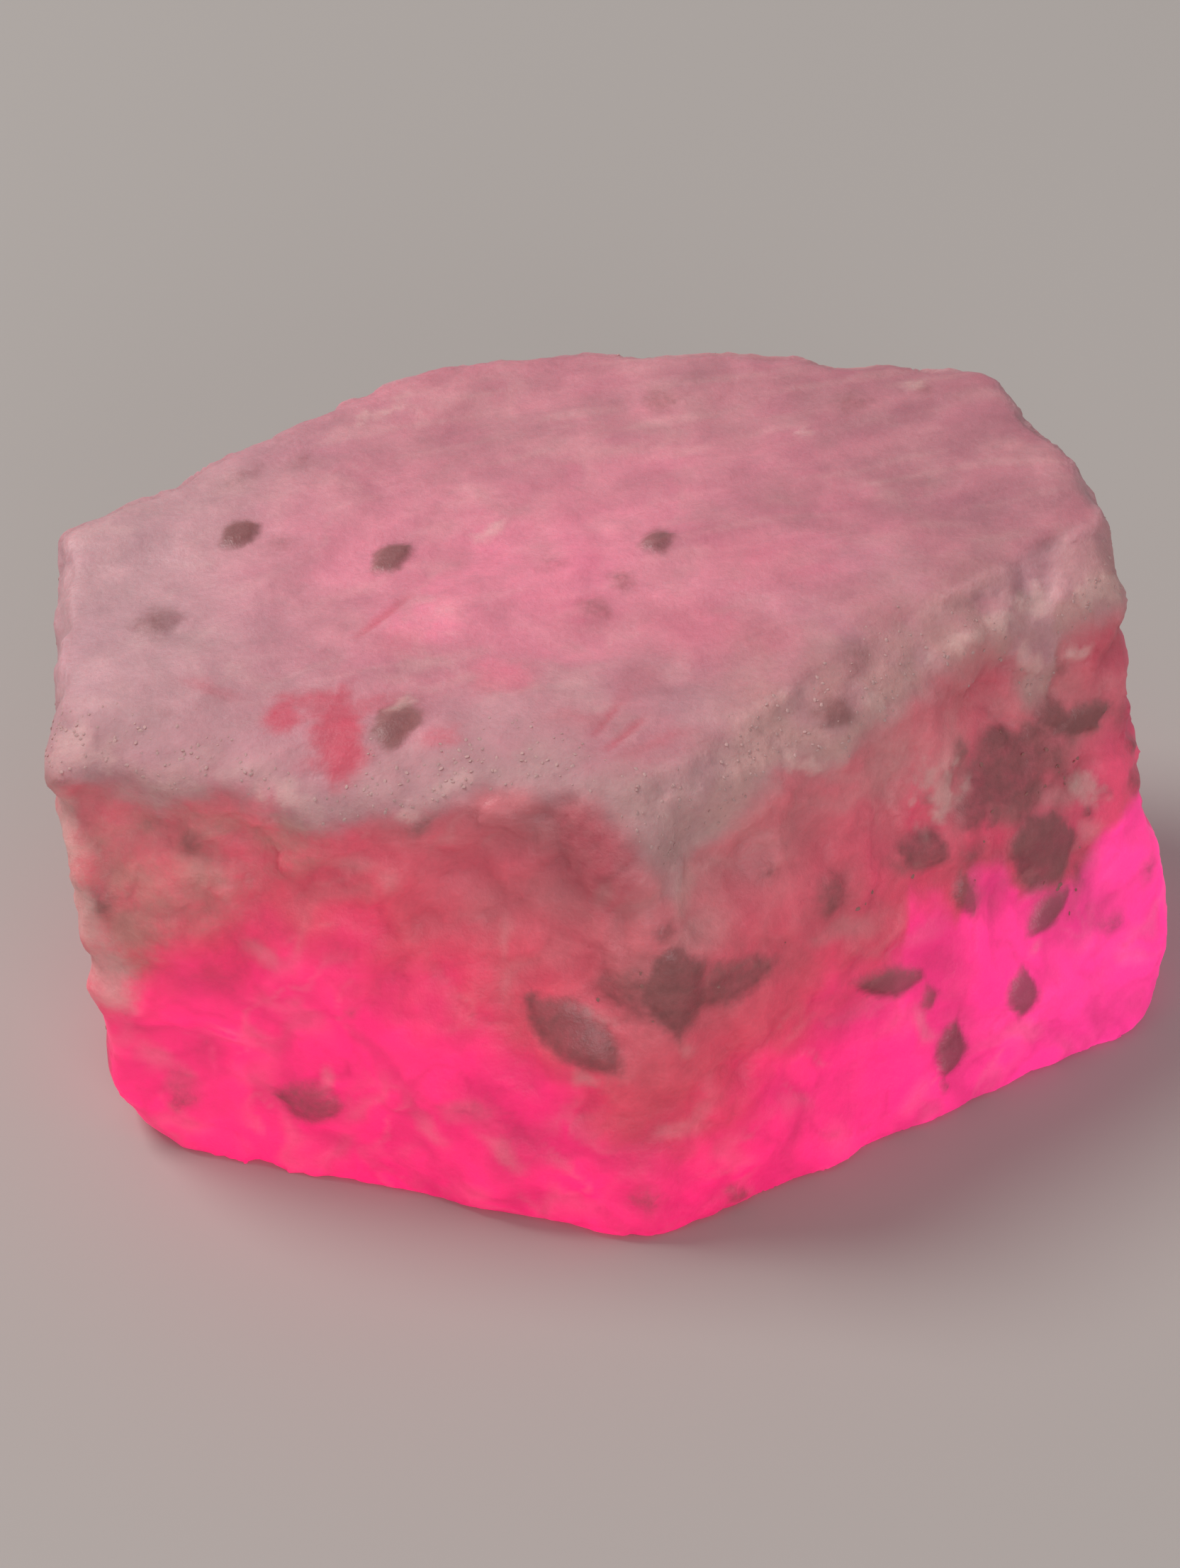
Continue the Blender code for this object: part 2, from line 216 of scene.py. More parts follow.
MOSS_PATCHES = (
    (-16.2, 2.6, 1.85, 1.2, 85, 1.0), (-16.1, 4.3, 1.38, 1.29, 0, 0.5), (-14.7, 2.6, 0.92, 0.55, 80, 0.5),
    (-11.7, 5.6, 2.3, 0.75, -8, 0.75), (-11.0, 4.4, 1.6, 0.45, 8, 0.65), (-16.1, 1.1, 1.07, 0.35, 20, 0.8),
    (-15.2, 4.6, 3.7, 2.5, 0, 0.72), (-16.6, 2.8, 1.6, 1.1, 80, 1.0),
)

# Dusky stains round the larger grains.
STAINS = (
    (13.3, 7.0, 3.1, 2.5, 60, 0.95), (14.7, 4.0, 2.0, 1.7, 0, 0.7), (1.5, 0.3, 3.0, 1.4, 5, 0.7),
    (11.8, 4.4, 0.9, 1.9, 10, 0.6), (14.6, 8.9, 2.0, 1.0, 15, 0.7),
    (-1.7, -1.0, 2.3, 1.2, -38, 0.4), (9.9, 4.7, 1.5, 1.2, 0, 0.55), (7.2, 3.4, 1.3, 1.2, 0, 0.45),
    (15.5, 9.2, 2.2, 1.1, 15, 0.55), (-7.0, 5.9, 1.4, 0.6, 10, 0.4), (-14.2, 5.4, 0.9, 0.8, 0, 0.35),
    (4.3, 1.2, 2.4, 1.3, 25, 0.4), (11.3, -0.9, 0.9, 1.7, 0, 0.25), (6.9, 10.0, 1.1, 1.3, 0, 0.3),
)

# Scratches on the parted top, from end to end on the map.
SCRATCHES = (
    ((-7.0, 13.4), (-8.9, 11.8)), ((0.0, 9.9), (-1.1, 8.6)), ((0.7, 9.3), (-0.7, 8.1)),
)

# Right, up, spread and number of the small grains that crowd round two places on the map.
CROWDS = ((13.2, 7.6, 1.7, 26), (1.6, 0.4, 1.3, 7))

# Marks on the sides that the map doesn't show: their number, smallest and largest half length.
PALE_BEHIND = (22, 0.3, 1.1)
BLUSHES_BEHIND = (9, 0.9, 2.6)
MOSS_BEHIND = (5, 0.8, 2.0)
# The same for the grains, whose number is one of the stone's values in the panel.
GRAIN_SIZES_BEHIND = (0.2, 1.6)
# The azimuths and the heights between which all those marks lie.
AZIMUTHS_BEHIND = (100.0, 335.0)
HEIGHTS_BEHIND = (1.0, 16.5)

# Painted layers that the stone's material reads as they are, and those whose edges it makes ragged.
PLAIN_LAYERS = (
    "top", "parting", "haze", "ember", "heart", "scratch", "facet", "vein", "seam", "cloud", "relief",
    "stain", "streak", "gleam", "shade", "dim",
)
RAGGED_LAYERS = {"crust": 0.25, "glow": 0.15, "grain": 0.5, "pale": 0.4, "red": 0.4, "moss": 0.5}
# The share of the foot's light that each layer keeps in.
DULLING = {
    "grain": 0.74, "stain": 0.55, "vein": 0.38, "seam": 0.14, "pale": 0.6, "moss": 0.8,
    "crust": 0.8, "dim": 0.35,
}

# What the camera looks at, in millimetres, and where the lights stand and aim, in metres.
CAMERA_AIM = Vector((-1.128, -0.549, 9.305))
KEY_PLACE = (-0.26, 0.06, 0.40)
FILL_PLACE = (0.10, -0.44, 0.16)
LIGHT_AIM = (0, 0, 0.01)


def colour(name, description, default):
    opaque = (*default, 1.0)
    return FloatVectorProperty(
        name=name, description=description, default=opaque, size=4, min=0.0, max=1.0, subtype="COLOR"
    )


def quantity(name, description, default, **limits):
    return FloatProperty(name=name, description=description, default=default, min=0.0, **limits)


def length(name, description, default):
    return quantity(name, description, default, unit="LENGTH", precision=5)


class StoneLook(PropertyGroup):
    """Sizes and colours of the stone itself."""

    voxel: length("Skin Voxel", "Size of the voxels that the stone's skin is rebuilt with", 0.00021)
    wear: IntProperty(name="Wear", description="Rounds of smoothing of the edges", default=8, min=0)
    lump_size: length("Lump Size", "Width of the lumps on the broken faces", 0.0020)
    lump_height: length("Lump Height", "Height of the lumps on the broken faces", 0.00030)
    streak_height: length("Streak Height", "Height of the streaks on the parted top", 0.00005)
    crust_height: length("Crust Height", "How far the pale crust stands proud", 0.00014)
    top: colour("Top", "The parted top", (0.60, 0.180, 0.240))
    streak: colour("Streak", "Duller streaks of the top", (0.42, 0.140, 0.185))
    heart: colour("Heart", "The bright clouds in the top", (0.98, 0.210, 0.355))
    mauve: colour("Mauve", "The hazy left of the top", (0.50, 0.270, 0.302))
    flesh: colour("Flesh", "The broken faces under the crust", (0.65, 0.152, 0.184))
    ember: colour("Ember", "The faces just above the shining foot", (0.76, 0.055, 0.100))
    foot: colour("Foot", "The shining foot under plain light", (0.56, 0.006, 0.09))
    crust: colour("Crust", "The pale crust along the rim on the left", (0.445, 0.216, 0.234))
    crust_tan: colour("Tan Crust", "The pale crust along the rim on the right", (0.555, 0.278, 0.256))
    pale: colour("Pale Mineral", "Whitish patches, clouds and threads", (0.72, 0.45, 0.41))
    moss: colour("Moss", "The dull brown weathering on the left", (0.57, 0.275, 0.232))
    red: colour("Red Scar", "Fresh red breaks", (0.56, 0.052, 0.096))
    stain: colour("Stain", "Dusky stains round the grains", (0.36, 0.105, 0.105))
    grain: colour("Grain", "The dark mineral grains", (0.185, 0.055, 0.055))
    grain_lit_facet: colour("Grain Facet", "Paler facets of the grains", (0.30, 0.108, 0.105))
    glow_rose: colour("Glow Rose", "Light from the left of the foot", (0.90, 0.010, 0.155))
    glow_magenta: colour("Glow Magenta", "Light from the right of the foot", (0.97, 0.036, 0.310))
    glow_strength: quantity("Glow Strength", "Light of the foot", 0.80)
    haze: quantity("Haze", "Share of light scattered inside", 0.35, max=1.0)
    hidden_grains: IntProperty(name="Hidden Grains", description="Grains round the back", default=46, min=0)


class CrumbLook(PropertyGroup):
    """Sizes and numbers of the loose pale crystals in the crust."""

    density: quantity("Density", "Crumbs on each square metre of crust", 0.7e7)
    smallest: length("Smallest", "Radius of the smallest crumb", 0.00004)
    largest: length("Largest", "Radius of the largest crumb", 0.00010)
    tint: colour("Tint", "Sugary white corundum", (0.50, 0.290, 0.280))


class SpeckLook(PropertyGroup):
    """Sizes and numbers of the tiny dark crystals in the stains."""

    density: quantity("Density", "Specks on each square metre of stained stone", 1.8e6)
    smallest: length("Smallest", "Radius of the smallest speck", 0.00005)
    largest: length("Largest", "Radius of the largest speck", 0.00014)
    tint: colour("Tint", "Dark mica and iron ore", (0.34, 0.13, 0.12))


class StageLook(PropertyGroup):
    """Camera, floor and studio light."""

    distance: length("Distance", "From the camera to the stone", 0.185)
    lens: FloatProperty(name="Lens", description="Focal length in millimetres", default=124.04, min=1.0)
    floor: colour("Floor", "Pale studio floor", (0.405, 0.370, 0.350))
    key_power: quantity("Key Power", "Soft light from above left", 1.45, unit="POWER")
    fill_power: quantity("Fill Power", "Soft light from the front", 0.62, unit="POWER")
    sky: quantity("Sky", "Strength of the even light all round", 0.42)


def smooth(low, high, values):
    share = np.clip((values - low) / (high - low), 0.0, 1.0)
    return share * share * (3.0 - 2.0 * share)


def mix(first, second, share):
    return first + (second - first) * share


def ripple(places, size, shift=0.0):
    """Even noise from -1 to 1 whose bumps are about this wide."""
    return np.array([noise.noise(place) for place in (places / size + shift).tolist()])


def drift(places, size, reach):
    """A wandering offset for each place, which makes straight edges ragged."""
    return reach * np.array([noise.noise_vector(place) for place in (places / size).tolist()])


def chipped(places, size, seed):
    """Small flat facets that meet at edges, as on broken corundum: a height of about -1 to 1."""
    heights = np.empty(len(places))
    for number, place in enumerate((places / size + seed).tolist()):
        _, centres = noise.voronoi(place)
        lowest = 9.0
        for centre in centres[:3]:
            tilt = noise.cell_vector(centre * 37.0) * 2.0 - Vector((1.0, 1.0, 1.0))
            offset = Vector(place) - centre
            lowest = min(lowest, offset.dot(tilt) + tilt.x * 0.3 + offset.length_squared)
        heights[number] = lowest
    return np.clip(heights, -1.2, 1.2)


def drawn_out(places, reach, spacing, shift):
    """Noise drawn out along the lamellae of the top, which run up to the right and level off gently."""
    along = places[:, 0]
    run = LAMELLA_SLOPE * along - LAMELLA_BEND * (along - LAMELLA_START) ** 2
    across = places[:, 1] - run
    return ripple(np.column_stack((along / reach, across / spacing, np.full(len(along), shift))), 1.0)


class Skin:
    """The stone's surface as arrays: places in millimetres, normals, and where each place is on the map."""

    def __init__(self, mesh):
        count = len(mesh.vertices)
        self.places = np.empty(count * 3)
        mesh.vertices.foreach_get("co", self.places)
        self.places = self.places.reshape(-1, 3) / MM
        self.normals = np.empty(count * 3)
        mesh.vertex_normals.foreach_get("vector", self.normals)
        self.normals = self.normals.reshape(-1, 3)
        self.across = self.places @ np.array(MAP_RIGHT)
        self.up = self.places @ np.array(MAP_UP)
        self.showing = smooth(0.02, 0.25, self.normals @ np.array(MAP_OUT))
        self.top = smooth(0.72, 0.96, self.normals[:, 2])
        self.under = smooth(-0.75, -0.97, self.normals[:, 2])
        ragged = drift(self.places, 0.95, 0.26) + drift(self.places, 0.36, 0.09)
        self.ragged = self.places + ragged
        self.little_ragged = self.places + 0.45 * ragged

    def on_mark(self, mark, places):
        """Where each place lies on a mark, in halves of its sides, and how far it faces it."""
        centre, along, aside, outward, half_length, half_width = mark[:6]
        offset = places - centre
        near = smooth(-0.35, 0.10, self.normals @ outward)
        near *= smooth(half_length + 3.0, half_length + 1.5, np.abs(offset @ outward))
        if outward @ np.array(MAP_OUT) < 0.99:
            near *= 1.0 - self.showing
        return offset @ along / half_length, offset @ aside / half_width, near

    def crystals(self, marks, seed):
        """Angular crystals: how much they cover, their height from 0 to 1 and the painted light and shade of
        their facets.
        """
        dice = random.Random(seed)
        cover, height, facet_light = np.zeros((3, len(self.places)))
        for mark in marks:
            half_length, half_width, strength = mark[4:]
            run, rise, near = self.on_mark(mark, self.little_ragged)
            # Painted light: a long grain's facet above its ridge is painted lighter, as lit from above, and
            # the one below darker; the facets of other grains are painted lighter and darker at random.
            if half_length > 1.7 * half_width:
                far = np.abs(rise) * 0.8 + 0.85 * run**2
                ridge = dice.uniform(-0.2, 0.4)
                lighter = dice.uniform(0.4, 0.9)
                side = np.where(rise > ridge, lighter, dice.uniform(0.0, 0.3))
            else:
                sides = 6 + dice.randrange(3)
                first = dice.uniform(0.0, math.tau)
                far = np.full(len(run), -9.0)
                side = np.zeros(len(run))
                for number in range(sides):
                    angle = first + math.tau * (number + dice.uniform(-0.35, 0.35)) / sides
                    reach = (run * math.cos(angle) + rise * math.sin(angle)) / dice.uniform(0.82, 1.15)
                    side = np.where(reach > far, dice.random(), side)
                    far = np.maximum(far, reach)
            edge = 0.13 + 0.45 * (1.0 - strength)
            here = strength * smooth(-edge, edge, (1.0 - far) * half_width) * near
            deeper = here > cover
            rising = np.minimum(np.clip(1.0 - far, 0.0, 1.0) / 0.45, 1.0)
            cover = np.where(deeper, here, cover)
            height = np.where(deeper, rising, height)
            facet_light = np.where(deeper, np.where(rising < 1.0, side, 0.35), facet_light)
        return cover, height, facet_light

    def clouded(self, marks):
        """Soft patches without an edge, as clouds inside the stone."""
        cover = np.zeros(len(self.places))
        for mark in marks:
            run, rise, near = self.on_mark(mark, self.ragged)
            far = np.sqrt(run**2 + rise**2)
            cover = np.maximum(cover, mark[6] * smooth(1.45, 0.25, far) * near)
        return cover

    def chips(self, marks, tearing):
        """Patches with a fairly clear edge, torn by a share of their size."""
        cover = np.zeros(len(self.places))
        torn = tearing * (ripple(self.places, 0.75, 3.0) + 0.7 * ripple(self.places, 0.34, 5.0))
        for mark in marks:
            run, rise, near = self.on_mark(mark, self.ragged)
            far = np.sqrt(run**2 + rise**2) + torn
            cover = np.maximum(cover, mark[6] * smooth(1.35, 0.35, far) * near)
        return cover


def mark_on(found, level, steep, outward, turn, half_length, half_width, strength):
    """A mark at a place on the stone, turned away from level."""
    along = level * math.cos(turn) + steep * math.sin(turn)
    aside = steep * math.cos(turn) - level * math.sin(turn)
    axes = [np.array(part) for part in (found, along, aside, outward)]
    return (*axes, half_length, half_width, strength)


def marks_on_map(tree, marks):
    """Marks that are given on the map, laid on the stone."""
    laid = []
    for right, up, half_length, half_width, tilt, strength in marks:
        flat = MAP_RIGHT * right + MAP_UP * up
        found, *_ = tree.ray_cast(flat + MAP_OUT * MAP_START, -MAP_OUT)
        if found is None:
            found, *_ = tree.find_nearest(flat)
        turn = math.radians(tilt)
        laid.append(mark_on(found, MAP_RIGHT, MAP_UP, MAP_OUT, turn, half_length, half_width, strength))
    return laid


def marks_behind(tree, count, smallest, largest, seed):
    """Marks strewn over the sides that the map doesn't show."""
    dice = random.Random(seed)
    marks = []
    for _ in range(count):
        azimuth = math.radians(dice.uniform(*AZIMUTHS_BEHIND))
        height = dice.uniform(*HEIGHTS_BEHIND)
        inward = Vector((-math.sin(azimuth), math.cos(azimuth), 0.0))
        found, outward, _, _ = tree.ray_cast(Vector((0, 0, height)) - inward * SIDE_START, inward)
        if outward.dot(MAP_OUT) > 0.1:
            continue
        level = Vector((0, 0, 1)).cross(outward).normalized()
        steep = outward.cross(level)
        turn = dice.uniform(0.0, math.pi)
        half_length = smallest * (largest / smallest) ** dice.random()
        half_width = half_length * dice.uniform(0.35, 0.8)
        strength = dice.uniform(0.6, 1.0)
        marks.append(mark_on(found, level, steep, outward, turn, half_length, half_width, strength))
    return marks


def crowd_on_map(right, up, spread, count, seed):
    """Small grains crowded round a place on the map."""
    dice = random.Random(seed)
    marks = []
    for _ in range(count):
        place = (dice.gauss(right, spread), dice.gauss(up, spread * 0.85))
        size = dice.uniform(0.14, 0.42)
        width = size * dice.uniform(0.5, 0.9)
        marks.append((*place, size, width, dice.uniform(0.0, 180.0), dice.uniform(0.45, 0.9)))
    return marks


def height_over(line, skin, behind):
    """How far each place lies above a line: up the map where the map shows it, else up the stone."""
    places = np.array(line)
    shown = skin.up - np.interp(skin.across, places[:, 0], places[:, 1])
    return mix(behind, shown, skin.showing)


def crust_masks(skin):
    """The pale crust along the rim: its cover, all that lies above its lower edge, and its lip, painted light
    that makes the crust paler along its lower edge and on its steep faces in the middle.
    """
    wander = ripple(skin.places, 1.7) * 0.50 + ripple(skin.places, 0.62) * 0.25
    behind = skin.places[:, 2] - 14.8 - 1.6 * ripple(skin.places, 6.0, 4.0)
    above = height_over(CRUST_LINE, skin, behind) + wander
    middle = smooth(-4.0, 2.0, skin.across) * smooth(15.0, 7.0, skin.across)
    reach = 4.3 + 1.6 * smooth(-8.0, -16.0, skin.across) + 2.6 * middle + 1.6 * ripple(skin.places, 3.2, 9.0)
    fade = 1.0 - smooth(0.0, 1.0, above / np.maximum(reach, 0.9))
    step = smooth(-0.75, 0.70, above)
    right = smooth(4.0, 9.0, skin.across)
    patchy = 1.0 - (0.45 + 0.20 * right) * smooth(-0.05, 0.45, ripple(skin.places, 1.5, 21.0))
    patchy *= 1.0 - 0.2 * smooth(0.0, 0.4, ripple(skin.places, 0.7, 23.0))
    # Painted light: the crust is painted paler along its lower edge and on its steep faces in the middle,
    # where shade falls on them.
    steep = 1.1 * (1.0 - skin.top) * smooth(4.5, 2.5, above) * smooth(6.0, 2.0, np.abs(skin.across - 1.0))
    lit_lip = step * np.maximum(smooth(1.7, 0.3, above), steep) * (1.0 - 0.5 * right) * skin.showing
    return step * fade * patchy, step, lit_lip


def glow_masks(skin):
    """The lit foot: soft on the left, sharply edged on the right, with a dull ember above it."""
    behind = skin.places[:, 2] - 6.6 - 3.2 * ripple(skin.places, 9.0, 2.0)
    right = smooth(6.0, 12.0, skin.across) * skin.showing
    over = height_over(GLOW_LINE, skin, behind)
    wide = ripple(skin.places, 2.4, 5.0) * mix(1.3, 0.45, right)
    fine = ripple(skin.places, 0.8, 6.0) * mix(0.5, 0.25, right)
    over += wide + fine
    softness = mix(2.1, 0.45, right)
    return smooth(softness, -softness, over), smooth(mix(10.5, 8.0, right), -0.5, over)


def scratch_depth(skin):
    """Thin grooves between the ends of each scratch."""
    depth = np.zeros(len(skin.places))
    spots = np.column_stack((skin.across, skin.up))
    for start, end in SCRATCHES:
        start = np.array(start)
        run = np.array(end) - start
        share = np.clip((spots - start) @ run / (run @ run), 0.0, 1.0)
        gap = np.linalg.norm(spots - start - share[:, None] * run, axis=1)
        depth = np.maximum(depth, smooth(0.22, 0.0, gap) * np.sin(share * math.pi) ** 0.5)
    return depth * skin.top * skin.showing


def settled(piece):
    """The piece with its modifiers made into a plain mesh."""
    graph = bpy.context.evaluated_depsgraph_get()
    mesh = bpy.data.meshes.new_from_object(piece.evaluated_get(graph))
    old = piece.data
    piece.modifiers.clear()
    piece.data = mesh
    bpy.data.meshes.remove(old)
    mesh.name = piece.name
    return piece


def new_piece(name, mesh):
    piece = bpy.data.objects.new(name, mesh)
    bpy.context.scene.collection.objects.link(piece)
    return piece


def solid_copy(name):
    """A closed copy of the CAD solid."""
    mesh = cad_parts[NODE].data.copy()
    mesh.materials.clear()
    shape = bmesh.new()
    shape.from_mesh(mesh)
    bmesh.ops.remove_doubles(shape, verts=shape.verts, dist=1e-7)
    shape.to_mesh(mesh)
    shape.free()
    return new_piece(name, mesh)


def paint(mesh, name, values):
    """Stores a number from 0 to 1 on each vertex, for the material to read."""
    layer = mesh.attributes.new(name, "FLOAT", "POINT")
    layer.data.foreach_set("value", np.clip(values, 0.0, 1.0).astype(np.float32))


def carve_and_paint(mesh, look):
    """Gives the skin its fine relief, and stores where each mineral and the glow are."""
    skin = Skin(mesh)
    tree = BVHTree.FromPolygons(
        [Vector(place) for place in skin.places.tolist()], [tuple(face.vertices) for face in mesh.polygons]
    )
    places = skin.places
    crowds = [mark for number, crowd in enumerate(CROWDS) for mark in crowd_on_map(*crowd, SEED + 4 + number)]
    hidden_grains = marks_behind(tree, look.hidden_grains, *GRAIN_SIZES_BEHIND, SEED)
    large_grains = [mark for mark in hidden_grains if mark[4] > 0.8]
    hidden_stains = [(*mark[:4], mark[4] * 2.0, mark[5] * 2.2, 0.5) for mark in large_grains]

    def laid(marks):
        return marks_on_map(tree, marks)

    def soft(marks, hidden=()):
        return skin.clouded([*laid(marks), *hidden])

    grain, grain_rise, facet = skin.crystals(laid([*GRAINS, *crowds]) + hidden_grains, SEED)
    pale = skin.chips(laid(PALE_PATCHES) + marks_behind(tree, *PALE_BEHIND, SEED + 1), 0.9)
    pale = np.maximum(pale, soft(PALE_RIMS))
    red = skin.chips(laid(SCAR), 0.3)
    red = np.maximum(red, soft(BLUSHES, marks_behind(tree, *BLUSHES_BEHIND, SEED + 2)))
    moss = soft(MOSS_PATCHES, marks_behind(tree, *MOSS_BEHIND, SEED + 3))
    moss *= 0.85 + 0.8 * ripple(places, 1.1, 31.0)
    stain = soft(STAINS, hidden_stains) * (0.75 + 0.9 * ripple(places, 0.7, 33.0))
    crust, above_crust, lit_lip = crust_masks(skin)
    # Painted light: the crust's lip is painted into the pale layer.
    pale = np.maximum(pale, 0.38 * lit_lip * (0.8 + 0.6 * ripple(places, 1.3, 71.0)))
    glow, ember = glow_masks(skin)
    scratch = scratch_depth(skin)

    broken = (1.0 - skin.top) * (1.0 - skin.under)
    swirl = places + drift(places, 3.0, 1.6) + drift(places, 1.0, 0.4)
    thread = np.minimum(np.abs(ripple(swirl, 3.1, 11.0)), np.abs(ripple(swirl, 1.9, 14.0)) * 1.6)
    vein = 0.36 * smooth(0.22, 0.0, thread) * smooth(-0.10, 0.40, ripple(places, 2.6, 17.0))
    vein = np.maximum(vein, soft(VEILS))
    seam = np.minimum(np.abs(ripple(swirl, 3.0, 61.0)), np.abs(ripple(swirl, 2.2, 64.0)) * 1.3)
    seam = smooth(0.20, 0.0, seam)
    cloud = ripple(swirl, 2.3, 41.0) + 0.5 * ripple(swirl, 1.1, 43.0)

    lumps = look.lump_height / MM * ripple(swirl, look.lump_size / MM, 51.0)
    chips = 0.11 * chipped(places, 1.6, 3.0) + 0.06 * chipped(places, 0.75, 5.0)
    grit = 0.05 * ripple(places, 0.5)
    streaks = drawn_out(places, 9.0, 1.8, 1.0) + 0.8 * drawn_out(places, 4.5, 0.75, 5.0)
    # Painted highlight: a gleam along the lamellae of the top, painted in the pale colour.
    gleam = smooth(0.12, 0.55, drawn_out(places, 3.6, 0.6, 9.0))
    sugar = 0.045 * ripple(places, 0.8, 3.0) + 0.03 * ripple(places, 0.42, 6.0)
    relief = lumps + chips + grit - 0.07 * seam
    height = broken * (1.0 - 0.7 * crust) * (1.0 - 0.9 * grain) * (1.0 - 0.4 * glow) * relief
    height += skin.top * (look.streak_height / MM * streaks + 0.2 * chips * (1.0 - grain) + 0.4 * grit)
    height += crust * sugar + look.crust_height / MM * above_crust * broken * smooth(0.0, 0.3, crust)
    height += grain * (0.03 + 0.13 * grain_rise) - 0.09 * scratch + 0.05 * pale
    height *= 1.0 - skin.under

    moved = np.clip((places + skin.normals * height[:, None]) * MM, *CAD_BOX)
    mesh.vertices.foreach_set("co", moved.ravel())

    level = places[:, 2]
    haze = mix(smooth(12.5, 14.5, level), smooth(6.0, 9.0, skin.up), skin.showing)
    haze *= smooth(-6.0, -17.5, skin.across)
    # Painted highlight: the sides just under the rim of the top are painted paler mauve.
    haze = np.maximum(haze, 0.6 * smooth(13.0, 15.0, level) * (1.0 - skin.top))
    haze = np.maximum(haze, soft(HAZES))
    # Painted shade: the top is painted darker towards its right.
    top_right_shade = smooth(-1.0, 10.0, skin.across) * skin.top
    layers = {
        "top": np.maximum(skin.top, above_crust),
        "parting": skin.top,
        "haze": haze,
        "crust": crust,
        "glow": glow,
        "ember": ember,
        "grain": grain,
        "facet": facet,
        "pale": pale,
        "red": red,
        "heart": soft(HEART_PATCHES),
        "moss": moss,
        "stain": stain,
        "vein": vein,
        "seam": seam,
        "cloud": cloud * 0.5 + 0.5,
        # Painted light and shade: the material paints raised places lighter and hollows darker from this
        # layer.
        "relief": relief * (1.0 - 0.7 * crust) / 0.6 + 0.5,
        "scratch": np.maximum(scratch, soft(STROKES)),
        "streak": 0.5 + 0.45 * streaks,
        "shade": np.maximum(0.7 * top_right_shade, soft(SHADES)),
        "dim": soft(DIMS),
        "gleam": gleam,
        "crumb_room": smooth(0.35, 0.85, crust) * (1.0 - grain) * (1.0 - red),
        "speck_room": (1.0 - grain) * (1.0 - pale) * smooth(0.2, 0.6, stain) * (1.0 - skin.under),
    }
    for name, values in layers.items():
        paint(mesh, name, values)
    mesh.update()


def feed(tree, socket, value):
    """Links an output to a socket, or sets the socket's own value."""
    if isinstance(value, bpy.types.NodeSocket):
        tree.links.new(value, socket)
    else:
        socket.default_value = value


def add_node(tree, kind, **settings):
    """A node with its settings. A setting named like an input feeds that input."""
    made = tree.nodes.new(kind)
    for name, value in settings.items():
        socket = made.inputs.get(name.replace("_", " ").title())
        if socket is None:
            setattr(made, name, value)
        else:
            feed(tree, socket, value)
    return made


def blend_in(tree, share, under, over):
    """A colour node that lays one colour over another by a share."""
    made = add_node(tree, "ShaderNodeMix", data_type="RGBA")
    for number, value in ((0, share), (6, under), (7, over)):
        feed(tree, made.inputs[number], value)
    return made.outputs[2]


def maths(tree, operation, *values):
    made = add_node(tree, "ShaderNodeMath", operation=operation)
    for socket, value in zip(made.inputs, values, strict=False):
        feed(tree, socket, value)
    return made.outputs[0]


def between(tree, value, low, high):
    """How far a value lies from one bound to the other, from 0 to 1."""
    return add_node(tree, "ShaderNodeMapRange", value=value, from_min=low, from_max=high).outputs["Result"]


def bump_of(tree, height, **settings):
    return add_node(tree, "ShaderNodeBump", height=height, **settings).outputs["Normal"]


def layer_of(tree, name):
    return add_node(tree, "ShaderNodeAttribute", attribute_name=name).outputs["Fac"]


def noise_of(tree, place, size, detail, roughness):
    """Noise whose clouds are about this many millimetres wide."""
    scale = maths(tree, "DIVIDE", 1.0 / MM, size)
    made = add_node(tree, "ShaderNodeTexNoise", vector=place, scale=scale, detail=detail, roughness=roughness)
    return made.outputs["Fac"]


def number_group(name, inputs, outputs):
    """An empty shader group that takes and gives numbers, with its two ends and the place of each point."""
    tree = bpy.data.node_groups.new(name, "ShaderNodeTree")
    for label, default in inputs.items():
        socket = tree.interface.new_socket(label, in_out="INPUT", socket_type="NodeSocketFloat")
        socket.default_value = default
    for label in outputs:
        tree.interface.new_socket(label, in_out="OUTPUT", socket_type="NodeSocketFloat")
    given = tree.nodes.new("NodeGroupInput").outputs
    result = tree.nodes.new("NodeGroupOutput").inputs
    return tree, given, result, tree.nodes.new("ShaderNodeTexCoord").outputs["Object"]


def mottle_group():
    """Cloudy mineral mottling: a brightness around 1, a fine grain and a height for bump."""
    inputs = {"Cloud Size": 2.0, "Grit Size": 0.25, "Contrast": 0.3}
    tree, given, result, place = number_group("mineral_mottle", inputs, ("Brightness", "Speckle", "Height"))
    cloud = noise_of(tree, place, given["Cloud Size"], 4.0, 0.6)
    grit = noise_of(tree, place, given["Grit Size"], 3.0, 0.7)
    swing = maths(tree, "MULTIPLY", maths(tree, "SUBTRACT", cloud, 0.5), given["Contrast"])
    fine_contrast = maths(tree, "MULTIPLY", given["Contrast"], 0.6)
    fine_swing = maths(tree, "MULTIPLY", maths(tree, "SUBTRACT", grit, 0.5), fine_contrast)
    brightness = maths(tree, "ADD", maths(tree, "ADD", swing, fine_swing), 1.0)
    height = maths(tree, "ADD", cloud, maths(tree, "MULTIPLY", grit, 0.35))
    tree.links.new(brightness, result["Brightness"])
    tree.links.new(grit, result["Speckle"])
    tree.links.new(height, result["Height"])
    return tree


